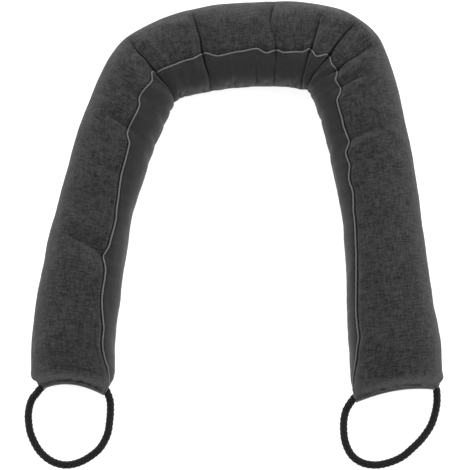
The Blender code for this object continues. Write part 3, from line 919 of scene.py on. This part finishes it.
def rope_loop(name, node, rows):
    """A braided rope loop on its route, its strands crossing over and under."""
    table = SmoothTable([(row[0] - PLAN_CENTRE[0], row[1] - PLAN_CENTRE[1], row[2]) for row in rows])
    rings = int(table.length * ROPE_RINGS_PER_MM)
    points, uvs, line = [], [], []
    along = 0.0
    last = None
    for ring in range(rings + 1):
        value, slope = table.at(table.length * ring / rings)
        heading = slope / np.linalg.norm(slope)
        side = np.cross(heading, (0.0, 0.0, 1.0))
        side /= np.linalg.norm(side)
        top = np.cross(side, heading)
        if last is not None:
            along += float(np.linalg.norm(value - last))
        last = value
        line.append(tuple(value * MM))
        for step in range(ROPE_SIDES):
            turn = 2 * math.pi * step / ROPE_SIDES
            radius = ROPE_RADIUS - BRAID_RISE + braid_height(turn, along) * BRAID_CREST * BRAID_RISE
            points.append(value + (side * math.cos(turn) + top * math.sin(turn)) * radius)
            uvs.append((along, turn * ROPE_RADIUS))
    faces = loft_faces(rings + 1, ROPE_SIDES)
    faces.append(tuple(range(ROPE_SIDES)))
    faces.append(tuple(range(rings * ROPE_SIDES, (rings + 1) * ROPE_SIDES)))
    item = mesh_piece(name, points, faces, uvs)
    turn_outward(item)
    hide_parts(node)
    return item


def braid_height(turn, along):
    """How high the braid stands at a place, from 0 between strands to 1 on a strand's top."""
    advance = 2 * math.pi * along / BRAID_PITCH
    left = BRAID_STARTS * turn + advance
    right = BRAID_STARTS * turn - advance
    over = (math.floor(left / math.pi) + math.floor(right / math.pi)) % 2 == 0
    across, lengthwise = (left, right) if over else (right, left)
    crown = 1.0 - STRAND_SAG + STRAND_SAG * abs(math.sin(lengthwise))
    return abs(math.sin(across)) ** STRAND_POWER * crown


def new_material(name, rough, sheen):
    """A matt material with its roughness and its sheen."""
    material = bpy.data.materials.new(name)
    material.use_nodes = True
    shader = material.node_tree.nodes["Principled BSDF"]
    shader.inputs["Roughness"].default_value = rough
    shader.inputs["Sheen Weight"].default_value = sheen
    shader.inputs["Sheen Roughness"].default_value = 0.5
    shader.inputs["Specular IOR Level"].default_value = 0.12
    return material


def math_node(tree, operation, first, second=None):
    """One math node on sockets or numbers."""
    node = tree.nodes.new("ShaderNodeMath")
    node.operation = operation
    for socket, value in zip(node.inputs, (first, second)):
        if value is None:
            continue
        if isinstance(value, (int, float)):
            socket.default_value = value
        else:
            tree.links.new(value, socket)
    return node.outputs[0]


def noise_texture(tree, place, detail=2.0):
    """Noise at a place given by a socket."""
    texture = tree.nodes.new("ShaderNodeTexNoise")
    texture.inputs["Scale"].default_value = 1.0
    texture.inputs["Detail"].default_value = detail
    texture.inputs["Roughness"].default_value = 0.6
    tree.links.new(place, texture.inputs["Vector"])
    return texture.outputs["Fac"]


def stretched_noise(tree, uv, scale_along, scale_round, detail=2.0):
    """Noise on the cloth, stretched along or round it; scales are per metre."""
    mapping = tree.nodes.new("ShaderNodeMapping")
    mapping.inputs["Scale"].default_value = (scale_along, scale_round, 1.0)
    tree.links.new(uv, mapping.inputs["Vector"])
    return noise_texture(tree, mapping.outputs[0], detail)


def add_bump(tree, height, strength, distance):
    """Bump on a material's shader from a height."""
    bump = tree.nodes.new("ShaderNodeBump")
    bump.inputs["Strength"].default_value = strength
    bump.inputs["Distance"].default_value = distance
    tree.links.new(height, bump.inputs["Height"])
    tree.links.new(bump.outputs[0], tree.nodes["Principled BSDF"].inputs["Normal"])


def ramp(tree, value, stops):
    """A colour ramp from a value: stops are (place, colour)."""
    node = tree.nodes.new("ShaderNodeValToRGB")
    elements = node.color_ramp.elements
    for index, (place, colour) in enumerate(stops):
        element = elements[index] if index < 2 else elements.new(place)
        element.position = place
        element.color = (*colour, 1.0)
    tree.links.new(value, node.inputs["Fac"])
    return node.outputs["Color"]


def thread_shade(tree, across, lengthwise, stretch):
    """A shade for each thread, far apart in the noise, that also changes along the thread."""
    apart = 7.31
    place = tree.nodes.new("ShaderNodeCombineXYZ")
    tree.links.new(math_node(tree, "MULTIPLY", math_node(tree, "FLOOR", across), apart), place.inputs[0])
    tree.links.new(math_node(tree, "MULTIPLY", lengthwise, stretch), place.inputs[1])
    return noise_texture(tree, place.outputs[0])


def thread_round(tree, place):
    """The round top of each thread, 0 between threads and 1 on their middles."""
    wave = math_node(tree, "SINE", math_node(tree, "MULTIPLY", place, math.pi))
    return math_node(tree, "POWER", math_node(tree, "ABSOLUTE", wave), 0.5)


def weave_material(name, pitch, dark, light, rough, contrast, slub_length, bump):
    """Plain-weave cloth: threads crossing both ways, uneven in thickness and shade of colour, with
    painted shade darkening the gaps between their round tops.
    """
    material = new_material(name, rough, CLOTH_SHEEN)
    tree = material.node_tree
    shader = tree.nodes["Principled BSDF"]
    uv = tree.nodes.new("ShaderNodeUVMap")
    uv.uv_map = "cloth"
    split = tree.nodes.new("ShaderNodeSeparateXYZ")
    tree.links.new(uv.outputs[0], split.inputs[0])
    sway = stretched_noise(tree, uv.outputs[0], SWAYS_PER_METRE, SWAYS_PER_METRE)
    sway = math_node(tree, "MULTIPLY", sway, THREAD_SWAY)
    count = 1.0 / pitch
    warp = math_node(tree, "ADD", math_node(tree, "MULTIPLY", split.outputs[0], count), sway)
    weft = math_node(tree, "ADD", math_node(tree, "MULTIPLY", split.outputs[1], count), sway)
    warp_shade = thread_shade(tree, warp, weft, 1.0 / slub_length)
    weft_shade = thread_shade(tree, weft, warp, 1.0 / slub_length)
    steps = math_node(tree, "ADD", math_node(tree, "FLOOR", warp), math_node(tree, "FLOOR", weft))
    above_zero = 100000.0
    over = math_node(tree, "MODULO", math_node(tree, "ADD", steps, above_zero), 2.0)
    over = math_node(tree, "MULTIPLY", over, 1.0 - 2.0 * UNDER_SHARE)
    warp_share = math_node(tree, "ADD", over, UNDER_SHARE)
    weft_share = math_node(tree, "SUBTRACT", 1.0, warp_share)
    shade = math_node(tree, "ADD", math_node(tree, "MULTIPLY", warp_shade, warp_share),
                      math_node(tree, "MULTIPLY", weft_shade, weft_share))
    lift = math_node(tree, "MULTIPLY", math_node(tree, "SUBTRACT", warp_share, 0.5), WARP_LIFT)
    shade = math_node(tree, "ADD", shade, lift)
    rounds = math_node(tree, "MULTIPLY", thread_round(tree, warp), thread_round(tree, weft))
    cloudy = stretched_noise(tree, uv.outputs[0], CLOUDS_PER_METRE, CLOUDS_PER_METRE, detail=5.0)
    tone = math_node(tree, "MULTIPLY", math_node(tree, "SUBTRACT", shade, 0.5), contrast)
    clouds = math_node(tree, "MULTIPLY", math_node(tree, "SUBTRACT", cloudy, 0.5), CLOUD_CONTRAST)
    tone = math_node(tree, "ADD", tone, clouds)
    # Painted shade: the gaps between the threads' round tops are painted darker than the tops.
    tone = math_node(tree, "ADD", tone, math_node(tree, "MULTIPLY", rounds, PAINTED_THREAD_GAP_SHADE))
    tone = math_node(tree, "ADD", tone, TONE_BASE)
    tree.links.new(ramp(tree, tone, ((0.0, dark), (1.0, light))), shader.inputs["Base Color"])
    height = math_node(tree, "ADD", math_node(tree, "MULTIPLY", rounds, ROUND_HEIGHT), shade)
    add_bump(tree, height, bump, THREAD_HEIGHT)
    return material


def rope_material():
    """Black yarn with fine fibres along the strands."""
    material = new_material("rope_yarn_black", 0.6, 0.1)
    tree = material.node_tree
    uv = tree.nodes.new("ShaderNodeUVMap")
    uv.uv_map = "cloth"
    fibres = stretched_noise(tree, uv.outputs[0], *FIBRES_PER_METRE, detail=3.0)
    colour = ramp(tree, fibres, FIBRE_TONES)
    tree.links.new(colour, tree.nodes["Principled BSDF"].inputs["Base Color"])
    add_bump(tree, fibres, FIBRE_BUMP, FIBRE_HEIGHT)
    return material


def area_light(name, place, size, power):
    """A large soft lamp that looks at the middle of the object."""
    lamp = bpy.data.lights.new(name, "AREA")
    lamp.shape = "RECTANGLE"
    lamp.size, lamp.size_y = size
    lamp.energy = power
    item = bpy.data.objects.new(name, lamp)
    bpy.context.scene.collection.objects.link(item)
    item.location = place
    aim = Vector((0.0, 0.0, AIM_HEIGHT)) - Vector(place)
    item.rotation_euler = aim.to_track_quat("-Z", "Y").to_euler()


def studio():
    """A plain white floor, a white surround and three large soft lamps."""
    bpy.ops.mesh.primitive_plane_add(size=FLOOR_SIZE, location=(0.0, 0.0, 0.0))
    floor = bpy.context.active_object
    floor.name = "floor"
    material = new_material("floor_white", 0.9, 0.0)
    shader = material.node_tree.nodes["Principled BSDF"]
    shader.inputs["Base Color"].default_value = FLOOR_COLOUR
    shader.inputs["Emission Color"].default_value = (1.0, 1.0, 1.0, 1.0)
    shader.inputs["Emission Strength"].default_value = FLOOR_GLOW
    floor.data.materials.append(material)
    world = bpy.data.worlds.new("surround")
    world.use_nodes = True
    tree = world.node_tree
    place = tree.nodes.new("ShaderNodeTexCoord")
    split = tree.nodes.new("ShaderNodeSeparateXYZ")
    tree.links.new(place.outputs["Generated"], split.inputs[0])
    background = tree.nodes["Background"]
    tree.links.new(ramp(tree, split.outputs[2], SKY), background.inputs["Color"])
    front = math_node(tree, "MAXIMUM", math_node(tree, "MULTIPLY", split.outputs[1], -1.0), 0.0)
    strength = math_node(tree, "SUBTRACT", 1.0, math_node(tree, "MULTIPLY", front, FRONT_DIMMING))
    tree.links.new(strength, background.inputs["Strength"])
    bpy.context.scene.world = world
    for row in LAMPS:
        area_light(**named(LAMP_COLUMNS, row))
    bpy.context.scene.view_settings.view_transform = "Standard"


camera_and_view()
left_rope = rope_loop("rope_loop_left", "loop_left", LEFT_LOOP)
right_rope = rope_loop("rope_loop_right", "loop_right", RIGHT_LOOP)
spine = SmoothTable(SPINE)
sections = [Section(spine, along) for along in ring_stations(spine.length)]
roll = filled_roll(sections)
back = back_panel(sections)
cord = piping(sections)

face_cloth = weave_material(**named(WEAVE_COLUMNS, FACE_CLOTH))
back_cloth = weave_material(**named(WEAVE_COLUMNS, BACK_CLOTH))
piping_cloth = weave_material(**named(WEAVE_COLUMNS, PIPING_CLOTH))
rope_yarn = rope_material()
for item, material in ((roll, face_cloth), (back, back_cloth), (cord, piping_cloth),
                       (left_rope, rope_yarn), (right_rope, rope_yarn)):
    item.data.materials.append(material)
studio()
